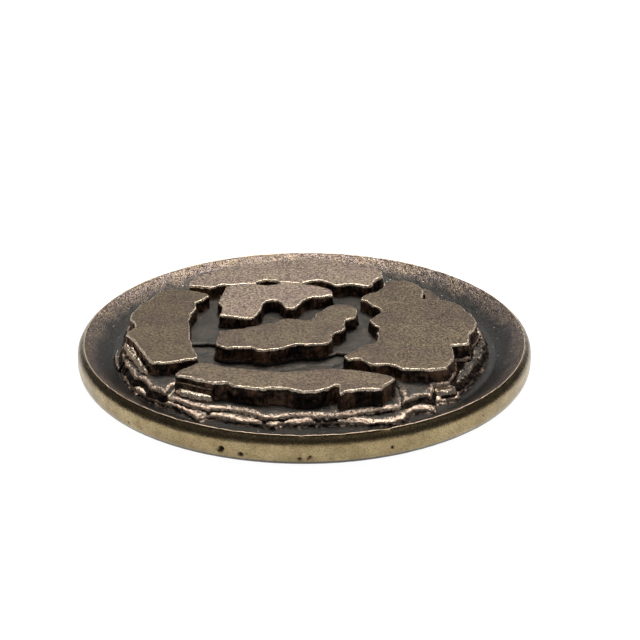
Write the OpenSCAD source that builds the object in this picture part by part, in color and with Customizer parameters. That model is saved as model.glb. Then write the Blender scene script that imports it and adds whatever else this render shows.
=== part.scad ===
// Cast relief medallion: a dished round blank that carries a relief of broken slabs built up in layers.
// Millimetres. Origin at the middle of the flat back, +Z up through the face, -Y towards the front.

/* [Blank] */
// Outside diameter of the medallion
coin_d = 50.8; // [40:0.1:70]
// Height of the rim's crest above the back
rim_h = 3.6; // [3.2:0.05:5]
// Thickness of the metal under the flat of the dish
field_h = 1.8; // [1.4:0.05:2.4]
// Width of the sloping dish band between the rim's crest and the flat of the dish
dish_band_w = 3.25; // [2.5:0.05:6]
// Width of the narrow level land along the rim's crest
crest_land_w = 0.1; // [0.05:0.05:0.5]
// Radius that rounds the top of the outer edge into the crest
top_round_r = 0.65; // [0.3:0.05:1.2]
// Radius that rounds the bottom of the outer edge into the back
bottom_round_r = 1.6; // [0.5:0.05:1.9]

/* [Relief layers] */
// Gap between the relief's furthest point and the edge of the flat of the dish
relief_gap = 0.1; // [0:0.05:2]
// Thickness of the lowest layer, whose edge is the outer ridge
lower_terrace_h = 0.9; // [0.5:0.05:1.4]
// Thickness of the second layer at the front, whose edge is the inner ridge
upper_terrace_h = 0.45; // [0.2:0.05:0.8]
// Thickness of the layer that makes the floor of the back channels
channel_floor_h = 0.85; // [0.5:0.05:1.4]
// Height of the flat slab tops above the channel floor
slab_h = 1.45; // [0.9:0.05:3]

/* [Small pieces] */
// Thickness of the thin layer beside the left slab
left_shoulder_h = 0.95; // [0.4:0.05:1.2]
// Height of the low rib at the left of the dish
left_rib_h = 0.5; // [0.3:0.05:0.9]
// Thickness of the lower thin layer under the front slab's left end
lower_stratum_h = 0.6; // [0.3:0.05:0.8]
// Thickness of the upper thin layer under the front slab's left end
upper_stratum_h = 0.55; // [0.3:0.05:0.7]
// Height of the rough slope beside the right slab
right_shoulder_h = 0.9; // [0.4:0.05:1.4]
// Thickness of the ledge at the back of the right slab
right_back_ledge_h = 0.75; // [0.4:0.05:1.2]
// Height of the broken lump in front of the right slab
right_nub_h = 0.5; // [0.3:0.05:1]

/* [Hidden] */

// Segments on each full circle
round_fn = 96;

coin_r = coin_d / 2;
// Inner edge of the crest's land, where the dish begins
crest_r = coin_r - top_round_r - crest_land_w;
field_r = crest_r - dish_band_w;

// The relief's outlines are drawn on a grid whose steps fill the flat of the dish: their
// furthest point lies this many steps from the middle
relief_reach = 213;
grid_step = (field_r - relief_gap) / relief_reach;
// Radius of the lowest layer at the sides and the back, in grid steps
terrace_arc_r = 205;

lower_terrace_z = field_h + lower_terrace_h;
upper_terrace_z = lower_terrace_z + upper_terrace_h;
channel_floor_z = lower_terrace_z + channel_floor_h;
slab_top_z = channel_floor_z + slab_h;
lower_stratum_z = upper_terrace_z + lower_stratum_h;

metal = [0.55, 0.47, 0.40];
edge_metal = [0.60, 0.53, 0.36];
dark_metal = [0.22, 0.21, 0.20];

// Outlines, seen from above, in grid steps
back_slab_outline = [
    [-134, 112], [-122, 110], [-108, 107], [-100, 113], [-95, 117], [-87, 114], [-75, 117], [-66, 118],
    [-57, 119], [-53, 126], [-43, 130], [-33, 127], [-28, 121], [-20, 122], [-10, 121], [-3, 118],
    [3, 124], [10, 128], [20, 128], [28, 122], [35, 114], [42, 113], [50, 117], [58, 116],
    [66, 112], [75, 110], [79, 115], [82, 125], [88, 134], [92, 142], [90, 156], [84, 168],
    [70, 175], [58, 179], [46, 184], [34, 188], [22, 192], [10, 197], [0, 196], [-10, 191],
    [-20, 187], [-36, 188], [-48, 182], [-60, 178], [-75, 177], [-88, 172], [-98, 163], [-106, 155],
    [-118, 148], [-128, 140], [-134, 127]
];
left_slab_outline = [
    [-154, 104], [-139, 102], [-125, 96], [-113, 91], [-110, 82], [-117, 71], [-124, 64], [-123, 45],
    [-129, 27], [-130, 5], [-127, -15], [-125, -45], [-120, -65], [-115, -87], [-126, -90], [-138, -96],
    [-150, -99], [-163, -99], [-169, -92], [-175, -75], [-181, -57], [-188, -42], [-193, -32],
    [-198, -23], [-195, -14], [-189, -4], [-191, 8], [-196, 20], [-196, 34], [-191, 50], [-184, 63],
    [-177, 74], [-171, 88], [-163, 100]
];
centre_back_slab_outline = [
    [-96, 27], [-85, 25], [-76, 21], [-66, 18], [-58, 19], [-53, 30], [-49, 44], [-48, 56],
    [-44, 66], [-37, 71], [-29, 67], [-25, 57], [-22, 48], [-15, 46], [-8, 50], [-4, 60],
    [0, 71], [8, 77], [18, 80], [33, 83], [33, 91], [29, 101], [21, 109], [10, 114],
    [-2, 116], [-12, 119], [-26, 119], [-35, 115], [-43, 113], [-52, 116], [-57, 119], [-66, 118],
    [-75, 117], [-87, 114], [-91, 108], [-93, 98], [-97, 80], [-99, 62], [-93, 48], [-93, 38]
];
centre_front_slab_outline = [
    [-95, -13], [-82, -12], [-70, -9], [-58, -3], [-44, 2], [-32, 7], [-24, 17], [-12, 17],
    [4, 14], [12, 20], [14, 31], [22, 43], [30, 54], [40, 58], [51, 56], [59, 46],
    [60, 32], [57, 20], [46, 11], [45, 2], [47, -7], [43, -17], [34, -22], [31, -30],
    [31, -41], [27, -49], [18, -52], [-9, -52], [-18, -57], [-24, -62], [-34, -66], [-44, -67],
    [-53, -65], [-60, -60], [-76, -59], [-83, -61], [-92, -57], [-97, -52], [-97, -38], [-94, -24]
];
right_slab_outline = [
    [93, 120], [102, 127], [116, 127], [127, 120], [134, 111], [138, 100], [138, 89], [135, 80],
    [137, 72], [157, 71], [168, 64], [177, 53], [185, 35], [191, 20], [193, 8], [192, -5],
    [188, -16], [182, -27], [181, -50], [175, -54], [162, -55], [162, -68], [163, -82], [159, -98],
    [153, -113], [146, -116], [132, -119], [116, -117], [104, -117], [97, -108], [88, -104], [71, -105],
    [65, -96], [60, -90], [46, -93], [43, -83], [53, -71], [66, -55], [76, -50], [82, -38],
    [80, -25], [84, -8], [76, 3], [74, 13], [80, 24], [88, 37], [85, 48], [76, 55],
    [71, 66], [64, 69], [64, 77], [74, 88], [86, 95], [92, 107]
];
front_slab_outline = [
    [-117, -100], [-106, -100], [-92, -106], [-78, -112], [-62, -116], [-45, -120], [-28, -123], [-10, -121],
    [10, -118], [30, -116], [50, -118], [66, -123], [81, -128], [91, -134], [97, -141], [90, -149],
    [85, -158], [81, -166], [70, -165], [57, -167], [44, -171], [37, -178], [36, -156], [32, -156],
    [25, -164], [12, -171], [-2, -172], [-15, -165], [-30, -162], [-46, -164], [-62, -161], [-74, -157],
    [-84, -148], [-97, -150], [-105, -147], [-115, -140], [-125, -134], [-135, -131], [-138, -125],
    [-130, -115], [-122, -108]
];
// Layer under the five slabs that stand on it, a little wider than they are
channel_floor_outline = [
    // Behind and beside the left slab, down to the open corner at the left front
    [-138, 108], [-156, 108], [-166, 104], [-175, 90], [-182, 75], [-190, 62], [-196, 48], [-200, 34],
    [-200, 15], [-199, -2], [-202, -20], [-202, -40], [-197, -62], [-190, -84], [-184, -99], [-178, -102],
    [-170, -113], [-165, -126], [-155, -133], [-147, -141],
    // Round the left slab's front end and across the left channel
    [-143, -125], [-135, -114], [-127, -107], [-116, -94], [-113, -86], [-118, -65], [-123, -45], [-126, -20],
    // Round the front of the centre front slab
    [-98, -20], [-99, -54], [-93, -60], [-83, -64], [-61, -63], [-53, -68], [-44, -70], [-33, -69],
    [-22, -64], [-8, -55], [19, -55], [30, -51], [35, -45],
    // Across the right channel and round the front of the right slab to its open corner
    [71, -48], [64, -53], [50, -70], [40, -83], [43, -96], [58, -94], [62, -99], [70, -108],
    [87, -107], [95, -112], [103, -138], [104, -166], [110, -158], [117, -152], [123, -149], [130, -146],
    [134, -152], [137, -138], [139, -124], [150, -121], [156, -115],
    // Up the right slab's outer side
    [162, -99], [166, -82], [166, -58], [177, -57], [184, -52], [185, -28], [191, -17], [195, -5],
    [196, 9], [194, 21], [188, 37], [180, 55], [171, 66], [164, 76], [162, 100], [150, 122],
    [130, 145], [106, 160],
    // Round the back slab
    [92, 160], [86, 171], [71, 178], [47, 187], [23, 195], [11, 200], [-1, 199], [-12, 194],
    [-37, 191], [-49, 185], [-76, 180], [-90, 175], [-108, 158], [-120, 151], [-131, 142], [-137, 128]
];
lower_terrace_front = [
    [203, -20], [200, -35], [193, -62], [183, -88], [172, -110], [166, -122], [166, -131], [150, -137],
    [141, -139], [139, -150], [139, -164], [128, -160], [116, -162], [108, -172], [105, -183], [92, -190],
    [70, -192], [47, -189], [15, -190], [-10, -193], [-23, -192], [-29, -197], [-35, -199], [-41, -195],
    [-48, -191], [-65, -188], [-80, -181], [-95, -175], [-105, -176], [-113, -180], [-120, -170], [-130, -158],
    [-150, -143], [-163, -133], [-174, -122], [-182, -110], [-189, -98], [-198, -78], [-203, -50], [-205, -20]
];
lower_terrace_back = [for (a = [180 : -10 : 0]) terrace_arc_r * [cos(a), sin(a)]];
upper_terrace_outline = [
    [-147, -141], [-133, -150], [-120, -160], [-108, -166], [-103, -171], [-94, -169], [-75, -171], [-65, -175],
    [-55, -181], [-47, -187], [-40, -191], [-31, -191], [-23, -188], [-15, -185], [0, -185], [10, -187],
    [33, -187], [42, -184], [55, -180], [68, -176], [82, -171], [104, -166], [110, -100], [90, -20],
    [-80, -10], [-128, -10], [-150, -90]
];
left_shoulder_outline = [
    [-200, -29], [-198, -41], [-193, -56], [-186, -72], [-180, -88], [-175, -99], [-169, -101], [-172, -90],
    [-178, -73], [-184, -56], [-191, -41], [-196, -31]
];
left_rib_outline = [
    [-211, -6], [-211, -22], [-209, -40], [-206, -55], [-203, -50], [-205, -20], [-205, -6]
];
// Front edge of the front slab's left end, which the two thin layers under it butt against
stratum_seat = [[-97, -150], [-105, -147], [-115, -140], [-125, -134], [-135, -131]];
lower_stratum_front = [[-138, -134], [-132, -143], [-120, -151], [-108, -158], [-98, -159]];
upper_stratum_front = [[-136, -134], [-127, -139], [-116, -145], [-106, -152], [-97, -154]];
right_shoulder_outline = [
    [202, 12], [202, -12], [198, -35], [191, -61], [181, -86], [170, -108], [164, -117], [164, -99],
    [170, -82], [178, -64], [187, -52], [187, -28], [193, -17], [197, -5], [198, 10]
];
right_back_ledge_outline = [
    [132, 118], [141, 118], [148, 110], [154, 98], [158, 85], [159, 75], [140, 75], [138, 80],
    [141, 89], [141, 101], [137, 112]
];
right_nub_outline = [[139, -124], [150, -121], [156, -115], [162, -119], [162, -128], [150, -134], [141, -133]];

// A layer of the relief, cut from z_low to z_high along an outline
module layer(outline, z_low, z_high) {
    translate([0, 0, z_low])
        linear_extrude(height = z_high - z_low)
            polygon(grid_step * outline);
}

// Half section of the blank, from the axis to the outer edge
module blank_section() {
    difference() {
        square([coin_r, rim_h]);
        // Square corners outside the two rounds of the outer edge
        translate([coin_r - bottom_round_r, 0]) outer_corner(bottom_round_r);
        translate([coin_r - top_round_r, rim_h]) mirror([0, 1]) outer_corner(top_round_r);
        // Flat of the dish and the sloping band around it
        polygon([[0, field_h], [field_r, field_h], [crest_r, rim_h], [0, rim_h]]);
    }
}

// The piece outside a quarter round, to be cut from a corner that lies towards +X and 0
module outer_corner(round_r) {
    difference() {
        square([round_r, round_r]);
        translate([0, round_r]) circle(r = round_r, $fn = round_fn);
    }
}

module coin_blank() {
    color(edge_metal) rotate_extrude($fn = round_fn) blank_section();
}

module lower_terrace() {
    color(dark_metal) layer(concat(lower_terrace_back, lower_terrace_front), field_h, lower_terrace_z);
}

module upper_terrace() {
    color(dark_metal)
        translate([0, 0, lower_terrace_z])
            linear_extrude(height = upper_terrace_h)
                difference() {
                    polygon(grid_step * upper_terrace_outline);
                    polygon(grid_step * channel_floor_outline);
                }
}

module channel_floor() {
    color(dark_metal) layer(channel_floor_outline, lower_terrace_z, channel_floor_z);
}

module back_slab() {
    color(metal) layer(back_slab_outline, channel_floor_z, slab_top_z);
}

module left_slab() {
    color(metal) layer(left_slab_outline, channel_floor_z, slab_top_z);
}

module centre_back_slab() {
    color(metal) layer(centre_back_slab_outline, channel_floor_z, slab_top_z);
}

module centre_front_slab() {
    color(metal) layer(centre_front_slab_outline, channel_floor_z, slab_top_z);
}

module right_slab() {
    color(metal) layer(right_slab_outline, channel_floor_z, slab_top_z);
}

module front_slab() {
    color(metal) layer(front_slab_outline, upper_terrace_z, slab_top_z);
}

module left_shoulder() {
    color(metal) layer(left_shoulder_outline, channel_floor_z, channel_floor_z + left_shoulder_h);
}

module left_rib() {
    color(dark_metal) layer(left_rib_outline, field_h, field_h + left_rib_h);
}

module front_left_lower_stratum() {
    color(metal) layer(concat(lower_stratum_front, stratum_seat), upper_terrace_z, lower_stratum_z);
}

module front_left_upper_stratum() {
    color(metal) layer(concat(upper_stratum_front, stratum_seat), lower_stratum_z,
        lower_stratum_z + upper_stratum_h);
}

module right_shoulder() {
    color(dark_metal) layer(right_shoulder_outline, lower_terrace_z, lower_terrace_z + right_shoulder_h);
}

module right_back_ledge() {
    color(metal) layer(right_back_ledge_outline, channel_floor_z, channel_floor_z + right_back_ledge_h);
}

module right_nub() {
    color(metal) layer(right_nub_outline, lower_terrace_z, lower_terrace_z + right_nub_h);
}

coin_blank();
lower_terrace();
upper_terrace();
channel_floor();
back_slab();
left_slab();
centre_back_slab();
centre_front_slab();
right_slab();
front_slab();
left_shoulder();
left_rib();
front_left_lower_stratum();
front_left_upper_stratum();
right_shoulder();
right_back_ledge();
right_nub();
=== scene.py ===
import math

import bpy
import numpy as np
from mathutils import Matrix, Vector, noise
from mathutils.geometry import delaunay_2d_cdt


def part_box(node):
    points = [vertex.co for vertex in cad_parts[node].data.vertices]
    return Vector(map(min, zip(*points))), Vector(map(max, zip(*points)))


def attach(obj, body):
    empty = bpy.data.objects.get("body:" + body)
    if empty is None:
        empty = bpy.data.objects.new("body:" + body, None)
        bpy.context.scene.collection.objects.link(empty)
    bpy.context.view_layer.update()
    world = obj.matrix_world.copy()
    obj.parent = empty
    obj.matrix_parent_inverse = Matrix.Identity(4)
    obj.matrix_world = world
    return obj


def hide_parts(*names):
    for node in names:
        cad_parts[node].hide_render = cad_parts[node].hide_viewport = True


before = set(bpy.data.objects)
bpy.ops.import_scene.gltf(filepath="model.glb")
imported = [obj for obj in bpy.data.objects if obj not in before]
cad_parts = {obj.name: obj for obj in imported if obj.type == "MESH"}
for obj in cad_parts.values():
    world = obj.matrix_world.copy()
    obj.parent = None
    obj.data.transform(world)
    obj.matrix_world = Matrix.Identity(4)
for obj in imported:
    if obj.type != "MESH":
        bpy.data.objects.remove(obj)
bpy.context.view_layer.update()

# ---------------------------------------------------------------------------------------------
# Blank
# The medallion's body is one round of sand-cast bronze with a flat back. Its outer edge was
# dressed with a file and rounded over, and the rim falls inside in a slightly hollow slope to
# the level ground that the relief stands on. A few gas pores stay open in the edge.
# ---------------------------------------------------------------------------------------------
MM = 0.001
coin_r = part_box("coin_blank")[1].x / MM
rim_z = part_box("coin_blank")[1].z / MM
ground_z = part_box("lower_terrace")[0].z / MM
dish_h = rim_z - ground_z
top_round = 1.25
bottom_round = 1.6
shoulder_start = 40
crest_r = coin_r - 0.80
ground_r = coin_r - 4.0
flat_back_r = coin_r - bottom_round
dish_hollow = 0.10
dish_rows = 29
blank_spokes = 1080

# Rows of the half section: mm in from the edges of the level ground and of the flat back, mm
# out from the crest and down from it, and shares of the slope that follows
ground_rows = (18.4, 14.4, 10.4, 6.4, 3.4, 2.0, 1.4, 1.05, 0.8, 0.55, 0.3)
back_rows = (0.5, 1.3, 2.8, 4.8, 7.8, 10.8, 13.8, 16.8, 19.8, 22.3)
crest_lead = 0.03
crest_rows = ((0.07, 0.012), (0.12, 0.05))
slope_shares = (0.30, 0.42, 0.7)

# Depths in mm of the casting's unevenness, and how far the crest's dents reach to its sides
skin_depth = 0.012
wave_depth = 0.016
dish_sink = 0.02
dish_pit_depth = 0.022
file_depth = 0.010
dent_depth = 0.14
dent_reach = 0.22

# Pores in the edge: degrees round from the front, height, radius and depth in mm
edge_pores = [
    (-19.8, 1.66, 0.33, 0.34), (-20.3, 1.32, 0.24, 0.28), (-15.1, 1.27, 0.34, 0.38),
    (-1.2, 1.10, 0.27, 0.28), (1.3, 1.42, 0.20, 0.24), (0.8, 1.18, 0.18, 0.20),
    (20.9, 1.70, 0.19, 0.22), (48.0, 1.95, 0.13, 0.16), (-47.0, 1.45, 0.14, 0.16),
    (112.0, 1.80, 0.16, 0.20), (163.0, 1.35, 0.15, 0.20), (-128.0, 2.05, 0.13, 0.18),
]


def unevenness(points, size, seed, octaves=4):
    """Fractal noise with features of this size in mm, from about -1 to 1, at each point."""
    shift = Vector((seed, 3.7 * seed, -2.3 * seed))
    return np.array([noise.fractal(Vector(p) / size + shift, 0.9, 2.1, octaves) for p in points])


def ease(values, low, high):
    """0 below low, 1 above high and a smooth step between."""
    t = np.clip((np.asarray(values, float) - low) / (high - low), 0, 1)
    return t * t * (3 - 2 * t)


def cast_piece(name, points, faces, marks):
    """A mesh piece from points in mm, with one value per point for each named mark."""
    mesh = bpy.data.meshes.new(name)
    mesh.from_pydata((np.asarray(points) * MM).tolist(), [], faces)
    mesh.shade_smooth()
    for mark, values in marks.items():
        layer = mesh.attributes.new(mark, "FLOAT", "POINT")
        layer.data.foreach_set("value", np.asarray(values, np.float32))
    piece = bpy.data.objects.new(name, mesh)
    bpy.context.scene.collection.objects.link(piece)
    return piece


def arc(centre_r, centre_z, radius, first, last, count):
    """Points of the half section along an arc between two angles in degrees."""
    angles = np.radians(np.linspace(first, last, count))
    return [(centre_r + radius * math.cos(a), centre_z + radius * math.sin(a)) for a in angles]


section = [(ground_r - inset, ground_z) for inset in ground_rows]
for share in np.linspace(0, 1, dish_rows):
    hollow = dish_hollow * 4 * share * (1 - share)
    section.append((ground_r + (crest_r - ground_r) * share, ground_z + dish_h * share - hollow))
section.insert(-1, (crest_r - crest_lead, rim_z - crest_lead * dish_h / (crest_r - ground_r)))
section += [(crest_r + out, rim_z - down) for out, down in crest_rows]
shoulder = arc(coin_r - top_round, rim_z - top_round, top_round, shoulder_start, 0, 10)
shoulder_r, shoulder_z = shoulder[0]
for share in slope_shares:
    section.append((crest_r + (shoulder_r - crest_r) * share,
                    rim_z + (shoulder_z - rim_z) * share))
section += shoulder
section += [(coin_r, z) for z in np.linspace(rim_z - top_round, bottom_round, 10)[1:-1]]
section += arc(flat_back_r, bottom_round, bottom_round, 0, -90, 15)
section += [(flat_back_r - inset, 0.0) for inset in back_rows]
section = np.array(section)
crest_row = int(np.argmax(section[:, 1]))

# Outward direction of the surface at each row of the section
along = np.gradient(section, axis=0)
outward = np.stack([-along[:, 1], along[:, 0]], axis=1)
outward /= np.linalg.norm(outward, axis=1)[:, None]
rows = len(section)
row_step = np.linalg.norm(np.diff(section, axis=0), axis=1)
row_path = np.concatenate([[0.0], np.cumsum(row_step)])
from_crest = row_path - row_path[crest_row]

turn = np.linspace(0, 2 * math.pi, blank_spokes, endpoint=False)
spoke = np.stack([np.sin(turn), -np.cos(turn)], axis=1)
ring_r = np.repeat(section[:, 0], blank_spokes)
ring_z = np.repeat(section[:, 1], blank_spokes)
ring_spoke = np.tile(spoke, (rows, 1))
at = np.column_stack([ring_spoke * ring_r[:, None], ring_z])
path = np.repeat(from_crest, blank_spokes)
on_wall = ease(path, 0.1, 0.5) * (1 - ease(path, 4.2, 4.6))
in_dish = 1 - ease(path, -0.12, 0.0)

# The casting's skin, dished face rougher than the dressed edge
low_spots = skin_depth + wave_depth * unevenness(at, 3.5, 1.0, 3)
low_spots += in_dish * (dish_sink + dish_pit_depth * unevenness(at, 0.42, 2.0, 3))
low_spots += on_wall * file_depth * unevenness(at * [1, 1, 2.5], 0.8, 3.0, 2)
crest_dents = np.clip(unevenness(at, 1.4, 4.0, 3), 0, 1) * np.exp(-((path / dent_reach) ** 2))
low_spots += dent_depth * crest_dents
pore_mark = np.zeros(len(at))
for degrees, height, radius, depth in edge_pores:
    centre = [coin_r * math.sin(math.radians(degrees)), -coin_r * math.cos(math.radians(degrees))]
    reach = np.linalg.norm(at - [*centre, height], axis=1) / radius
    reach = reach + 0.25 * noise.noise(Vector((degrees, height, 0)))
    pore_mark = np.maximum(pore_mark, 1 - ease(reach, 0.55, 1.25))
    low_spots += depth * (1 - ease(reach, 0.1, 1.05))
low_spots = np.clip(low_spots, 0, 1)
drop_r = np.repeat(outward[:, 0], blank_spokes) * low_spots
drop_z = np.repeat(outward[:, 1], blank_spokes) * low_spots
flat_back = np.repeat(section[:, 1] < 1e-6, blank_spokes)
at[:, :2] -= ring_spoke * drop_r[:, None]
at[:, 2] -= np.where(flat_back, 0.4 * drop_z, drop_z)

blank_faces = []
for row in range(rows - 1):
    for k in range(blank_spokes):
        after = (k + 1) % blank_spokes
        here, there = row * blank_spokes, (row + 1) * blank_spokes
        blank_faces.append((here + k, there + k, there + after, here + after))
blank_faces.append(tuple(range(blank_spokes)))
blank_faces.append(tuple(reversed(range((rows - 1) * blank_spokes, rows * blank_spokes))))

blank = cast_piece("blank", at, blank_faces, {
    "dish": in_dish,
    "rub_and_highlight": np.exp(-(((path - 0.04) / 0.10) ** 2)),
    "band": ease(path, 0.0, 0.12) * (1 - ease(path, 0.8, 1.4)),
    "foot": ease(1.05 - at[:, 2], 0, 0.55) * ease(ring_r, coin_r - 2.2, coin_r - 1.2),
    "depth": in_dish * np.clip((rim_z - at[:, 2]) / dish_h, 0, 1),
    "pore": pore_mark,
})


class Wire:
    """One output in a material's node tree. Sums written on wires add Math nodes."""

    def __init__(self, tree, socket=None):
        self.tree = tree
        self.socket = socket

    def node(self, kind, settings=None, inputs=None, output=0):
        """Adds a node, sets it up, feeds its inputs with values or wires, and gives an output."""
        made = self.tree.nodes.new("ShaderNode" + kind)
        for name, value in (settings or {}).items():
            setattr(made, name, value)
        for name, value in (inputs or {}).items():
            if isinstance(value, Wire):
                self.tree.links.new(value.socket, made.inputs[name])
            else:
                made.inputs[name].default_value = value
        return Wire(self.tree, made.outputs[output])

    def sum(self, operation, first, second):
        return self.node("Math", {"operation": operation}, {0: first, 1: second})

    def __add__(self, other):
        return self.sum("ADD", self, other)

    def __sub__(self, other):
        return self.sum("SUBTRACT", self, other)

    def __rsub__(self, other):
        return self.sum("SUBTRACT", other, self)

    def __mul__(self, other):
        return self.sum("MULTIPLY", self, other)

    __radd__ = __add__
    __rmul__ = __mul__

    def step(self, low, high):
        """0 below low, 1 above high and a smooth step between."""
        return self.node("MapRange", {"interpolation_type": "SMOOTHSTEP"},
                         {"Value": self, "From Min": low, "From Max": high})

    def blend(self, first, second):
        """The first colour where this is 0 and the second where it is 1."""
        return self.node("Mix", {"data_type": "RGBA"}, {0: self, 6: first, 7: second}, output=2)


class Finish:
    """A bronze finish: its node tree, the place on the metal in mm, and its shader's sockets."""

    def __init__(self, name):
        self.material = bpy.data.materials.new(name)
        self.material.use_nodes = True
        self.tree = self.material.node_tree
        self.shader = self.tree.nodes["Principled BSDF"]
        start = Wire(self.tree)
        metres = start.node("TexCoord", output="Object")
        self.place = start.node("VectorMath", {"operation": "SCALE"}, {0: metres, "Scale": 1 / MM})

    def noise(self, size, detail=3.0, stretch=None, roughness=0.6):
        """Noise from 0 to 1 with features of this size in mm."""
        place = self.place
        if stretch:
            place = place.node("VectorMath", {"operation": "MULTIPLY"}, {0: place, 1: stretch})
        return place.node("TexNoise", {}, {
            "Vector": place, "Scale": 1 / size, "Detail": detail, "Roughness": roughness})

    def mark(self, name):
        """A value kept on the mesh's points."""
        return self.place.node("Attribute", {"attribute_name": name}, output="Fac")

    def set(self, colour, metallic, roughness, height, depth):
        """Feeds the shader. height, from 0 to 1, is pressed in by depth in mm."""
        bump = height.node("Bump", {}, {"Height": height, "Distance": depth * MM, "Strength": 1.0})
        feeds = {"Base Color": colour, "Metallic": metallic, "Roughness": roughness, "Normal": bump}
        for name, value in feeds.items():
            if isinstance(value, Wire):
                self.tree.links.new(value.socket, self.shader.inputs[name])
            else:
                self.shader.inputs[name].default_value = value
        return self.material


bright_gold = (0.420, 0.332, 0.184, 1)
dull_gold = (0.265, 0.202, 0.104, 1)
patch_brown = (0.190, 0.130, 0.066, 1)
file_mark_brown = (0.130, 0.094, 0.050, 1)
speck_brown = (0.075, 0.052, 0.028, 1)
band_brown = (0.075, 0.052, 0.030, 1)
dish_yellow_brown = (0.285, 0.222, 0.165, 1)
dish_red_brown = (0.280, 0.222, 0.205, 1)
dish_charcoal = (0.024, 0.028, 0.026, 1)
dish_speck = (0.030, 0.022, 0.020, 1)
dish_grit = (0.028, 0.025, 0.025, 1)
painted_glint = (0.700, 0.620, 0.560, 1)
rubbed_crest_and_highlight = (0.420, 0.325, 0.245, 1)
foot_painted_shade = (0.022, 0.016, 0.010, 1)
pore_shade_black = (0.008, 0.005, 0.003, 1)

edge_finish = Finish("edge_bronze")
skin = edge_finish.noise(0.17)
specks = edge_finish.noise(0.13, 2.0)
clouds = edge_finish.noise(2.0, 4.0)
file_marks = edge_finish.noise(0.35, 3.0, (1, 1, 6))
patches = edge_finish.noise(4.0, 5.0, None, 0.7)
gold = clouds.step(0.35, 0.65).blend(dull_gold, bright_gold)
gold = (file_marks.step(0.50, 0.66) * 0.7).blend(gold, file_mark_brown)
gold = (specks.step(0.56, 0.68) * 0.8).blend(gold, speck_brown)
gold = (patches.step(0.50, 0.62) * 0.5).blend(gold, patch_brown)
depth = edge_finish.mark("depth")
charcoal = (depth + (clouds - 0.5) * 0.8).step(0.14, 0.76)
dish_brown = clouds.step(0.35, 0.65).blend(dish_yellow_brown, dish_red_brown)
dish_brown = charcoal.blend(dish_brown, dish_charcoal)
dish_brown = specks.step(0.46, 0.58).blend(dish_brown, dish_speck)
grit = edge_finish.noise(0.42, 4.0).step(0.48, 0.58)
dish_brown = (grit * 0.40).blend(dish_brown, dish_grit)
# Painted highlight: pale specks in the dish's colour stand for glints of light.
painted_glints = edge_finish.noise(0.24, 1.0).step(0.74, 0.80)
dish_brown = painted_glints.blend(dish_brown, painted_glint)
# Painted shade: a band on the shoulder just below the crest is darkened to brown.
band = edge_finish.mark("band") * (0.55 + (clouds - 0.5) * 1.2)
colour = edge_finish.mark("dish").blend(band.blend(gold, band_brown), dish_brown)
# The crest is lightened, partly as wear and partly as a painted highlight of the crest line.
rubbed_and_highlight = edge_finish.mark("rub_and_highlight") + (skin - 0.5) * 0.9
colour = rubbed_and_highlight.step(0.30, 0.95).blend(colour, rubbed_crest_and_highlight)
# Painted shade: the edge is darkened nearly black where it curves under towards the floor.
foot_shade = edge_finish.mark("foot") + (skin - 0.5) * 0.5 * edge_finish.mark("foot")
colour = foot_shade.step(0.2, 0.9).blend(colour, foot_painted_shade)
# Painted shade: the pores are coloured near black.
colour = edge_finish.mark("pore").blend(colour, pore_shade_black)
roughness = 0.30 + edge_finish.mark("dish") * 0.08 + (skin - 0.5) * 0.40
roughness = roughness + edge_finish.mark("rub_and_highlight") * 0.15
grain = skin * (1 + edge_finish.mark("dish") * 1.3)
blank.data.materials.append(edge_finish.set(colour, 1.0, roughness, grain, 0.020))
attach(blank, "root")
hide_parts("coin_blank")

# ---------------------------------------------------------------------------------------------
# Terraces
# Two low layers of the same casting step up from the ground at the front. Their torn edges
# make the two wavy ridges inside the rim. The patina stays dark on them, and only the crests
# are lightened, partly rubbed bright by use and partly as painted highlight.
# ---------------------------------------------------------------------------------------------
outline_step = 0.10
side_row_h = 0.13

# Rows of points behind the edge, in edge radii
edge_shares = (0.06, 0.25, 0.6, 1.0, 1.5)

# Tears and chips of an outline: size and reach in mm, and the seed that they are drawn with
tear_sizes = ((1.0, 0.07), (0.42, 0.05), (0.2, 0.025))
chip_size = 0.80
chip_reach = 0.15
tear_seed = 1
noise.seed_set(tear_seed)


def flat_outline(node):
    """Corners of a CAD layer's flat top, anticlockwise, in mm."""
    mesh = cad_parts[node].data
    corners = np.array([v.co for v in mesh.vertices]) / MM
    keys = [tuple(np.round(c[:2], 3)) for c in corners]
    top = corners[:, 2].max() - 0.001
    edges = set()
    for face in mesh.polygons:
        loop = list(face.vertices)
        if all(corners[i][2] > top for i in loop):
            edges |= {(keys[a], keys[b]) for a, b in zip(loop, loop[1:] + loop[:1])}
    onward = {a: b for a, b in edges if (b, a) not in edges}
    ring = [min(onward)]
    while onward[ring[-1]] != ring[0]:
        ring.append(onward[ring[-1]])
    return np.array(ring)


def respaced(ring, step):
    """The closed ring with points this far apart."""
    closed = np.vstack([ring, ring[:1]])
    length = np.concatenate([[0], np.cumsum(np.linalg.norm(np.diff(closed, axis=0), axis=1))])
    count = max(12, round(length[-1] / step))
    wanted = np.arange(count) * length[-1] / count
    return np.column_stack([np.interp(wanted, length, closed[:, k]) for k in (0, 1)])


def torn(ring):
    """The ring with its corners eased, and wandering as a torn edge does. Every point of the
    relief is moved by the same rule, so rings that touch still touch."""
    ring = respaced(ring, outline_step)
    ring = (np.roll(ring, 1, 0) + 2 * ring + np.roll(ring, -1, 0)) / 4
    shifts = np.zeros_like(ring)
    for size, reach in tear_sizes:
        shifts += [reach * noise.noise_vector(Vector((x, y, 0)) / size).xy for x, y in ring]
    chips = [noise.cell_vector(Vector((x, y, 0)) / chip_size).xy for x, y in ring]
    return respaced(ring + shifts + chip_reach * (np.array(chips) - 0.5), outline_step)


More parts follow.
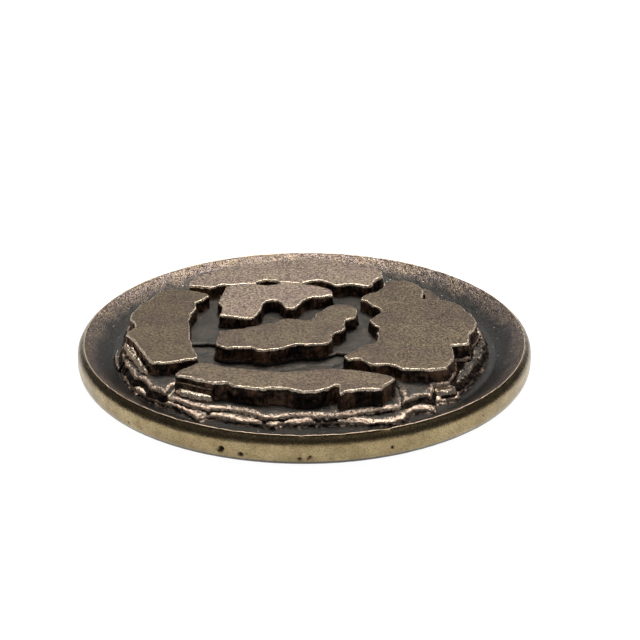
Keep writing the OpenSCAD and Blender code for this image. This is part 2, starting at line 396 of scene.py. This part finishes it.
def inward_distance(points, ring):
    """How far each point lies inside the ring in mm, negative outside it."""
    onward = np.roll(ring, -1, axis=0) - ring
    square = (onward**2).sum(1)
    found = []
    for k in range(0, len(points), 1500):
        gap = points[k : k + 1500, None] - ring
        share = np.clip((gap * onward).sum(-1) / square, 0, 1)
        nearest = ((gap - share[..., None] * onward) ** 2).sum(-1).min(1) ** 0.5
        above = gap[..., 1] < 0
        passes = above != np.roll(above, -1, axis=1)
        side = gap[..., 0] * onward[:, 1] < gap[..., 1] * onward[:, 0]
        side = side == (onward[:, 1] > 0)
        found.append(np.where((passes & side).sum(1) % 2, nearest, -nearest))
    return np.concatenate(found)


def filled(ring, inner=()):
    """Triangles that fill the ring through the inner points, as 2-D points and index triples."""
    flat = [Vector(p) for p in ring] + [Vector(p) for p in inner]
    made = delaunay_2d_cdt(flat, [], [list(range(len(ring)))], 1, 1e-7, True)
    kept = [tuple(face) for face, source in zip(made[2], made[5]) if source]
    return np.array([v[:] for v in made[0]]), kept


def border(faces):
    """The longest closed chain of edges that have a face on one side only."""
    edges = {(f[k], f[k - 2]) for f in faces for k in range(3)}
    onward = {a: b for a, b in edges if (b, a) not in edges}
    chains = []
    while onward:
        chain = [next(iter(onward))]
        while chain[-1] in onward:
            chain.append(onward.pop(chain[-1]))
        chains.append(chain[:-1])
    return max(chains, key=len)


def outward_from(ring, reach):
    """Unit directions out of an anticlockwise ring, from the points this far either side."""
    ahead = np.roll(ring, -reach, 0) - np.roll(ring, reach, 0)
    outward = np.column_stack([ahead[:, 1], -ahead[:, 0]])
    return outward / np.linalg.norm(outward, axis=1)[:, None]


def top_points(ring, edge_r, grid, seed):
    """Points for the top: rows that follow the edge, then a grid, thinned in the middle."""
    outward = outward_from(ring, 1)
    kept = []
    for share in edge_shares:
        row = ring - outward * edge_r * share
        kept.append(row[inward_distance(row, ring) > 0.85 * share * edge_r])
    size = ring.max(0) - ring.min(0)
    spots = [np.linspace(ring[:, k].min(), ring[:, k].max(), int(size[k] / grid)) for k in (0, 1)]
    spots = np.stack(np.meshgrid(*spots), -1).reshape(-1, 2)
    spots += grid * 0.3 * np.sin(spots[:, ::-1] * 37.0 + seed)
    depth = inward_distance(spots, ring)
    middle = (depth > 4.0) & ((np.arange(len(spots)) % 7) > 0)
    kept.append(spots[(depth > 1.9 * edge_r) & ~middle])
    return np.vstack(kept)


def relief_layer(name, node, seed, edge_r, sag, swell, cliff, draft, seat, grid, buried_by=(),
                 wear_and_highlight=1.0, crest_w=0.55, fray=0.02, nose=(0.1, 0), strata=0.0, painted_top_light=0.0,
                 calm=0.0, sheltered=-3.0):
    """A layer of the relief round a CAD layer, with sizes in mm.

    edge_r is the radius of the edge's rounding by use, sag is the top's fall behind it and swell
    its unevenness. cliff is the side's roughness, draft its lean, seat its depth in the metal
    below, and grid the point spacing. buried_by names the layers that cover part of this one.
    wear is how far the edge is lightened, partly by use and partly as painted highlight, crest_w
    the width of that lightening in edge radii, and fray the roughness there. nose is the width
    and fall of the slope that leads to the edge, strata the height of the ripples that follow
    the edge, tone how much the top is lightened as painted light, and calm how much smoother the
    top is well inside the edge. Nothing nearer than sheltered to the coin's centre is lightened so."""
    low, high = (corner.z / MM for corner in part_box(node))
    ring = torn(flat_outline(node))
    flat, faces = filled(ring, top_points(ring, edge_r, grid, seed))
    rim = border(faces)
    inside = np.clip(inward_distance(flat, ring), 0, None)
    inside[rim] = 0

    # The top: the worn round, the slope and ripples that lead to it, and the casting's swell
    places = np.column_stack([flat, np.full(len(flat), seed)])
    free = np.ones(len(flat))
    for other in buried_by:
        free = np.minimum(free, ease(-inward_distance(flat, torn(flat_outline(other))), 0.02, 0.3))
    open_edge = free * ease(np.linalg.norm(flat, axis=1), sheltered, sheltered + 3)
    worn_r = edge_r * (1 + 0.45 * unevenness(places, 0.7, 5.0, 2)) * (0.15 + 0.85 * free)
    fall = worn_r - np.sqrt(np.clip(worn_r**2 - np.clip(worn_r - inside, 0, None) ** 2, 0, None))
    nose_w, nose_h = nose
    fall += nose_h * np.clip(1 - inside / nose_w, 0, 1) ** 2 * open_edge
    fall += sag * ease(inside, edge_r + 0.6 * nose_w, edge_r + 0.6 * nose_w + 0.9) * free
    along_edge = np.column_stack([flat * 0.22, 2.6 * inside])
    ripples = strata * (1 + unevenness(along_edge, 0.8, seed + 4, 3))
    fall += ripples * (1 - calm * ease(inside, 1.0, 2.0)) * open_edge
    play = unevenness(places, 2.8, 6.0, 2) + 0.45 * unevenness(places, 0.5, 7.0, 3)
    play *= swell * (1 - calm * ease(inside, 1.6, 2.6))
    near_edge = 1 - ease(inside, 0.5 * edge_r, 2.5 * edge_r)
    play += fray * unevenness(places, 0.26, 8.0, 2) * near_edge * open_edge
    top_z = np.minimum(high - 0.6 * swell - fall + play, high)
    top = np.column_stack([flat, top_z])

    # The side, row by row from the edge down to its seat
    edge = top[rim]
    outward = outward_from(edge[:, :2], 3)
    foot = low - seat
    levels = max(4, math.ceil((high - low) / side_row_h))
    rub_fall = 0.07 + 2.2 * fray * np.clip(1.5 * unevenness(edge * [1, 1, 0], 1.3, seed, 2), 0, 1)
    points, shade = [top], [0 * inside]
    # The worn mark lightens the edge's colour, partly as wear and partly as painted highlight.
    worn_and_highlight = [np.exp(-((inside / (crest_w * worn_r)) ** 2)) * open_edge]
    for level in range(1, levels + 1):
        share = level / levels
        height = edge[:, 2] + (foot - edge[:, 2]) * share
        place = np.column_stack([edge[:, :2], height])
        out = draft * share**1.6
        out = out + cliff * unevenness(place * [1, 1, 0.8], 0.55, seed, 3) * min(1, 3 * share)
        streaks = unevenness(place * [1, 1, 0.12], 0.2, seed + 9, 2)
        out = out + 0.5 * cliff * streaks * min(1, 3 * share)
        out = out + 0.10 * ease(low + 0.18 - height, 0, 0.3)
        out = out * free[rim]
        points.append(np.column_stack([edge[:, :2] + outward * out[:, None], height]))
        down = edge[:, 2] - height
        worn_and_highlight.append(np.exp(-(((down + 0.04) / rub_fall) ** 2)) * open_edge[rim])
        # The shade mark paints shade on the side below the edge, less where the edge is buried or
        # sheltered.
        shade.append(ease(down, 0.02, 0.16) * (0.25 + 0.75 * open_edge[rim]))
    points.append(np.column_stack([edge[:, :2], np.full(len(edge), foot)]))
    worn_and_highlight.append(np.zeros(len(edge)))
    shade.append(np.ones(len(edge)))

    solid_faces = list(faces)
    starts = [len(top) + k * len(rim) for k in range(levels + 1)]
    upper = rim
    for start in starts:
        lower = list(range(start, start + len(rim)))
        for k in range(len(rim)):
            solid_faces.append((upper[k - 1], lower[k - 1], lower[k], upper[k]))
        upper = lower
    base_flat, base_faces = filled(edge[:, :2])
    if len(base_flat) == len(edge):
        solid_faces += [tuple(starts[-1] + i for i in reversed(face)) for face in base_faces]
    return cast_piece(name, np.vstack(points), solid_faces, {
        "worn_and_highlight": wear_and_highlight * np.concatenate(worn_and_highlight), "shade": np.concatenate(shade),
        "painted_top_light": np.full(sum(len(part) for part in points), painted_top_light)})


patina_grey = (0.040, 0.040, 0.036, 1)
patina_brown = (0.080, 0.068, 0.058, 1)
patina_speck = (0.012, 0.010, 0.010, 1)
side_shade_black = (0.014, 0.011, 0.010, 1)
side_shade_brown = (0.120, 0.085, 0.066, 1)
rubbed_ridge_and_highlight = (0.740, 0.580, 0.460, 1)

dark_finish = Finish("dark_patina")
skin = dark_finish.noise(0.17)
specks = dark_finish.noise(0.13, 2.0)
clouds = dark_finish.noise(1.6, 4.0)
colour = clouds.step(0.35, 0.68).blend(patina_grey, patina_brown)
colour = specks.step(0.50, 0.64).blend(colour, patina_speck)
streaks = (dark_finish.noise(0.3, 4.0, (1, 1, 0.4)) + dark_finish.noise(1.2, 2.0)) * 0.5
# Painted shade: through the shade mark the sides below each edge turn near black with brown
# streaks.
side = streaks.step(0.44, 0.62).blend(side_shade_black, side_shade_brown)
colour = dark_finish.mark("shade").blend(colour, side)
coarse = dark_finish.noise(0.42, 4.0)
# The edges are lightened through the worn mark, partly as wear and partly as painted highlight.
rubbed_and_highlight = dark_finish.mark("worn_and_highlight") + (skin - 0.5) * 1.6 + (coarse - 0.5) * 1.6
rubbed_and_highlight = rubbed_and_highlight.step(0.45, 1.05)
colour = rubbed_and_highlight.blend(colour, rubbed_ridge_and_highlight)
roughness = 0.47 + (skin - 0.5) * 0.36 + rubbed_and_highlight * 0.03
dark_finish.set(colour, 0.95, roughness, skin + coarse, 0.075)

terraces = {
    "lower_terrace": dict(seed=1, edge_r=0.26, sag=0.20, swell=0.09, cliff=0.17, draft=0.30,
                          seat=0.15, grid=0.16, crest_w=3.0, fray=0.10, nose=(1.0, 0.26),
                          strata=0.11),
    "upper_terrace": dict(seed=2, edge_r=0.22, sag=0.08, swell=0.08, cliff=0.15, draft=0.12,
                          seat=0.45, grid=0.15, buried_by=["channel_floor"], crest_w=2.6,
                          fray=0.09, nose=(0.8, 0.18), strata=0.09, calm=0.9,
                          sheltered=15.5),
}
for node, sizes in terraces.items():
    terrace = relief_layer(node.replace("_terrace", "_ridge_layer"), node, **sizes)
    terrace.data.materials.append(dark_finish.material)
    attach(terrace, "root")
    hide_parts(node)

# ---------------------------------------------------------------------------------------------
# Channel floor
# The layer that five of the slabs stand on shows as the dark floor of the channels between
# them. It is smooth and level there, and keeps its full patina because no hand reaches it.
# ---------------------------------------------------------------------------------------------
channel = relief_layer("channel_ground", "channel_floor", seed=3, edge_r=0.34, sag=0.0,
                       swell=0.05, cliff=0.08, draft=0.30, seat=0.4, grid=0.18, wear_and_highlight=0.95,
                       nose=(0.8, 0.10), fray=0.06, crest_w=1.5, strata=0.03, calm=0.9,
                       sheltered=14.5)
channel.data.materials.append(dark_finish.material)
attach(channel, "root")
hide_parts("channel_floor")

# ---------------------------------------------------------------------------------------------
# Slabs
# Six flat plates with torn outlines carry the face of the medallion. Their tops were dressed
# level and have a satin brown bronze with fine dark grain, painted lighter on the back slabs
# as light from behind; their edges are rubbed pale and lit further by painted highlight, and
# their broken sides are darkened nearly black with painted shade.
# ---------------------------------------------------------------------------------------------
satin_yellow_brown = (0.160, 0.122, 0.072, 1)
satin_red_brown = (0.118, 0.083, 0.058, 1)
painted_lit_yellow_brown = (0.430, 0.342, 0.258, 1)
painted_lit_red_brown = (0.380, 0.288, 0.238, 1)
grain_black = (0.022, 0.016, 0.012, 1)
pit_black = (0.030, 0.022, 0.017, 1)
broken_side_shade_black = (0.016, 0.010, 0.008, 1)
broken_side_shade_brown = (0.210, 0.122, 0.078, 1)
rubbed_edge_and_highlight = (0.900, 0.760, 0.600, 1)

slab_finish = Finish("slab_bronze")
skin = slab_finish.noise(0.17)
specks = slab_finish.noise(0.28, 4.0, None, 0.85)
pits = slab_finish.noise(0.45, 2.0)
clouds = slab_finish.noise(4.5, 4.0)
satin = clouds.step(0.36, 0.64).blend(satin_yellow_brown, satin_red_brown)
# Painted light: a higher tone mark gives the top a lighter copy of its brown, standing for light
# from behind.
painted_lit = clouds.step(0.38, 0.62).blend(painted_lit_yellow_brown, painted_lit_red_brown)
colour = slab_finish.mark("painted_top_light").blend(satin, painted_lit)
colour = (specks.step(0.455, 0.545) * 0.86).blend(colour, grain_black)
colour = (pits.step(0.56, 0.64) * 0.50).blend(colour, pit_black)
streaks = slab_finish.noise(0.40, 3.0, (1, 1, 0.5)) * 0.4 + slab_finish.noise(2.0, 2.0) * 0.6
# Painted shade: through the shade mark the broken sides turn near black with brown streaks.
side = streaks.step(0.43, 0.62).blend(broken_side_shade_black, broken_side_shade_brown)
colour = slab_finish.mark("shade").blend(colour, side)
# The edges are lightened through the worn mark, partly as wear and partly as painted highlight.
rubbed_and_highlight = slab_finish.mark("worn_and_highlight") + (skin - 0.5) * 0.8
colour = rubbed_and_highlight.step(0.27, 0.74).blend(colour, rubbed_edge_and_highlight)
roughness = 0.42 + (skin - 0.5) * 0.35 - rubbed_and_highlight.step(0.25, 0.65) * 0.14
metallic = 0.97 - slab_finish.mark("shade") * 0.25
slab_finish.set(colour, metallic, roughness, skin + specks * 0.6, 0.055)

# How much each slab's top is lightened as painted light from behind, from 0 to 1
slabs = {"back_slab": 0.75, "left_slab": 0.0, "centre_back_slab": 0.8, "centre_front_slab": 0.1,
         "right_slab": 0.05, "front_slab": 0.15}
for seed, (node, painted_top_light) in enumerate(slabs.items(), start=11):
    slab = relief_layer(node.replace("_slab", "_plate"), node, seed=seed, edge_r=0.21, sag=0.0,
                        swell=0.022, cliff=0.13, draft=0.10, seat=0.3, grid=0.17, fray=0.015,
                        painted_top_light=painted_top_light, crest_w=0.66)
    slab.data.materials.append(slab_finish.material)
    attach(slab, "root")
    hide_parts(node)

# ---------------------------------------------------------------------------------------------
# Broken ledges
# Thin torn layers show at the sides of the slabs: strata under the front slab's left end, a
# shoulder beside the left slab, a ledge behind the right slab and a lump in front of it.
# ---------------------------------------------------------------------------------------------
ledges = {
    "left_shoulder": dict(seed=21, edge_r=0.26, sag=0.0, swell=0.16, cliff=0.14, draft=0.16,
                          seat=0.3, grid=0.11, buried_by=["left_slab"], crest_w=1.4, fray=0.12,
                          nose=(0.7, 0.30), strata=0.06, wear_and_highlight=0.72),
    "front_left_lower_stratum": dict(seed=22, edge_r=0.22, sag=0.0, swell=0.05, cliff=0.09,
                                     draft=0.12, seat=0.3, grid=0.10, buried_by=["front_slab"],
                                     crest_w=3.0, fray=0.10, nose=(0.6, 0.30), wear_and_highlight=0.8),
    "front_left_upper_stratum": dict(seed=23, edge_r=0.12, sag=0.0, swell=0.03, cliff=0.07,
                                     draft=0.06, seat=0.3, grid=0.12, buried_by=["front_slab"],
                                     wear_and_highlight=0.2),
    "right_back_ledge": dict(seed=24, edge_r=0.12, sag=0.0, swell=0.03, cliff=0.07, draft=0.1,
                             seat=0.3, grid=0.15, buried_by=["right_slab"]),
    "right_nub": dict(seed=25, edge_r=0.26, sag=0.1, swell=0.20, cliff=0.12, draft=0.12,
                      seat=0.35, grid=0.11, buried_by=["channel_floor"], crest_w=1.4, fray=0.12,
                      nose=(0.6, 0.2), wear_and_highlight=0.75),
}
for node, sizes in ledges.items():
    ledge = relief_layer(node + "_metal", node, **sizes)
    ledge.data.materials.append(slab_finish.material)
    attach(ledge, "root")
    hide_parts(node)

# ---------------------------------------------------------------------------------------------
# Dark outcrops
# A low rib stands in the dish at the left and a rough slope falls from the right slab's side.
# Both are as cast, dark, with a few rubbed points partly painted as highlight.
# ---------------------------------------------------------------------------------------------
outcrops = {
    "left_rib": dict(seed=31, edge_r=0.20, sag=0.1, swell=0.08, cliff=0.12, draft=0.12,
                     seat=0.15, grid=0.11, buried_by=["lower_terrace"], crest_w=0.9, fray=0.08),
    "right_shoulder": dict(seed=32, edge_r=0.30, sag=0.35, swell=0.24, cliff=0.20, draft=0.25,
                           seat=0.35, grid=0.11, buried_by=["channel_floor"], wear_and_highlight=0.62,
                           crest_w=1.2, fray=0.14, strata=0.14),
}
for node, sizes in outcrops.items():
    outcrop = relief_layer(node + "_metal", node, **sizes)
    outcrop.data.materials.append(dark_finish.material)
    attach(outcrop, "root")
    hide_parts(node)

# ---------------------------------------------------------------------------------------------
# Studio
# A pale floor, a soft light overhead, a wide dimmer one low behind that the flat tops reflect,
# and a weak fill at the front. The camera looks down at the face from about 25 degrees.
# ---------------------------------------------------------------------------------------------
floor_half = 2.5
floor_grey = (0.20, 0.20, 0.20, 1)
floor_glow = 0.98
sky_white = (0.95, 0.97, 1.0, 1)
sky_strength = 0.10

floor_mesh = bpy.data.meshes.new("floor")
floor_corners = [(-1, -1), (1, -1), (1, 1), (-1, 1)]
floor_mesh.from_pydata([(x * floor_half, y * floor_half, 0) for x, y in floor_corners], [],
                       [(0, 1, 2, 3)])
floor = bpy.data.objects.new("floor", floor_mesh)
bpy.context.scene.collection.objects.link(floor)
paper = bpy.data.materials.new("pale_paper")
paper.use_nodes = True
paper_shader = paper.node_tree.nodes["Principled BSDF"]
paper_shader.inputs["Base Color"].default_value = floor_grey
paper_shader.inputs["Roughness"].default_value = 0.9
paper_shader.inputs["Emission Color"].default_value = (1, 1, 1, 1)
paper_shader.inputs["Emission Strength"].default_value = floor_glow
floor_mesh.materials.append(paper)

world = bpy.data.worlds.new("studio")
world.use_nodes = True
sky = world.node_tree.nodes["Background"]
sky.inputs["Color"].default_value = sky_white
sky.inputs["Strength"].default_value = sky_strength
bpy.context.scene.world = world


def softbox(name, place, width, height, power, tint):
    """A soft rectangular light at a place, in metres, turned towards the coin."""
    lamp = bpy.data.lights.new(name, "AREA")
    lamp.shape = "RECTANGLE"
    lamp.size = width
    lamp.size_y = height
    lamp.energy = power
    lamp.color = tint
    light = bpy.data.objects.new(name, lamp)
    light.location = place
    light.rotation_euler = (-Vector(place)).to_track_quat("-Z", "Y").to_euler()
    light.visible_camera = False
    bpy.context.scene.collection.objects.link(light)


softbox("overhead_softbox", place=(0.03, 0.21, 0.46), width=0.38, height=0.30, power=3.4,
        tint=(1.0, 0.97, 0.92))
softbox("front_softbox", place=(0.0, -0.9, 0.12), width=1.4, height=0.22, power=0.6,
        tint=(1.0, 0.96, 0.92))
softbox("back_softbox", place=(0.0, 0.75, 0.35), width=1.2, height=0.45, power=1.2,
        tint=(1.0, 0.98, 0.96))

camera = bpy.data.objects.new("camera", bpy.data.cameras.new("camera"))
camera_place = Vector((0.0, -0.2301, 0.1076))
camera_aim = Vector((0.00184, 0.01244, 0.0))
camera.location = camera_place
camera.rotation_euler = (camera_aim - camera_place).to_track_quat("-Z", "Y").to_euler()
camera.data.sensor_width = 36
camera.data.lens = 126.55
camera.data.clip_start = 0.01
bpy.context.scene.collection.objects.link(camera)
bpy.context.scene.camera = camera
bpy.context.scene.view_settings.view_transform = "Standard"
